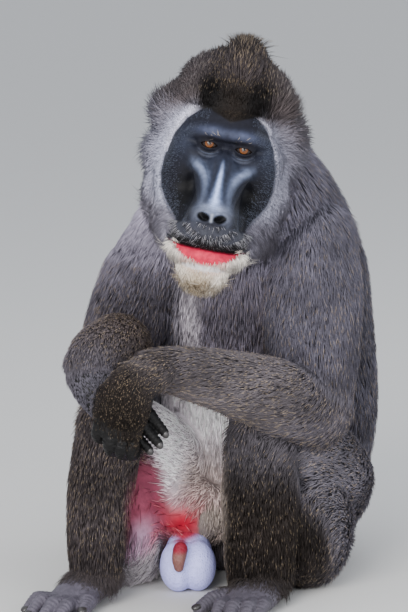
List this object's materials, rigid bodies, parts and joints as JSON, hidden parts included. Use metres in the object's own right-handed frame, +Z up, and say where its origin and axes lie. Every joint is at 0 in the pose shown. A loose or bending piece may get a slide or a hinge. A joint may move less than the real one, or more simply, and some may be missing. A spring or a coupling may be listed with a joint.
{
  "type": "seated drill monkey",
  "caption": "Life-size adult male drill monkey, seated upright with forearms crossed over raised knees, long muzzle, full ruff and crest.",
  "frame": {"origin": "on the floor under the middle of the animal's bounding box", "axes": "+Z up; -Y towards the camera, which the face looks to; +X the animal's left; the trunk is turned about 25 degrees to the animal's right"},
  "size_m": [0.4594, 0.5362, 0.7139],
  "materials": {
    "coat": "dense grizzled fur",
    "dark_skin": "wrinkled bare skin",
    "lilac_skin": "finely creased bare skin",
    "red_skin": "moist bare skin",
    "eye": "wet gloss"
  },
  "bodies": {
    "root": {"head": "coat", "neck": "coat", "chest": "coat", "abdomen": "coat", "pelvis": "coat", "upper_arm_left": "coat", "upper_arm_right": "coat", "forearm_left": "coat", "forearm_right": "coat", "thigh_left": "coat", "thigh_right": "coat", "shin_left": "coat", "shin_right": "coat", "tail": "coat", "ear_left": "dark_skin", "ear_right": "dark_skin", "hand_left": "dark_skin", "hand_right": "dark_skin", "foot_left": "dark_skin", "foot_right": "dark_skin", "scrotum": "lilac_skin", "sheath": "red_skin", "eye_left": "eye", "eye_right": "eye"}
  },
  "joints": []
}
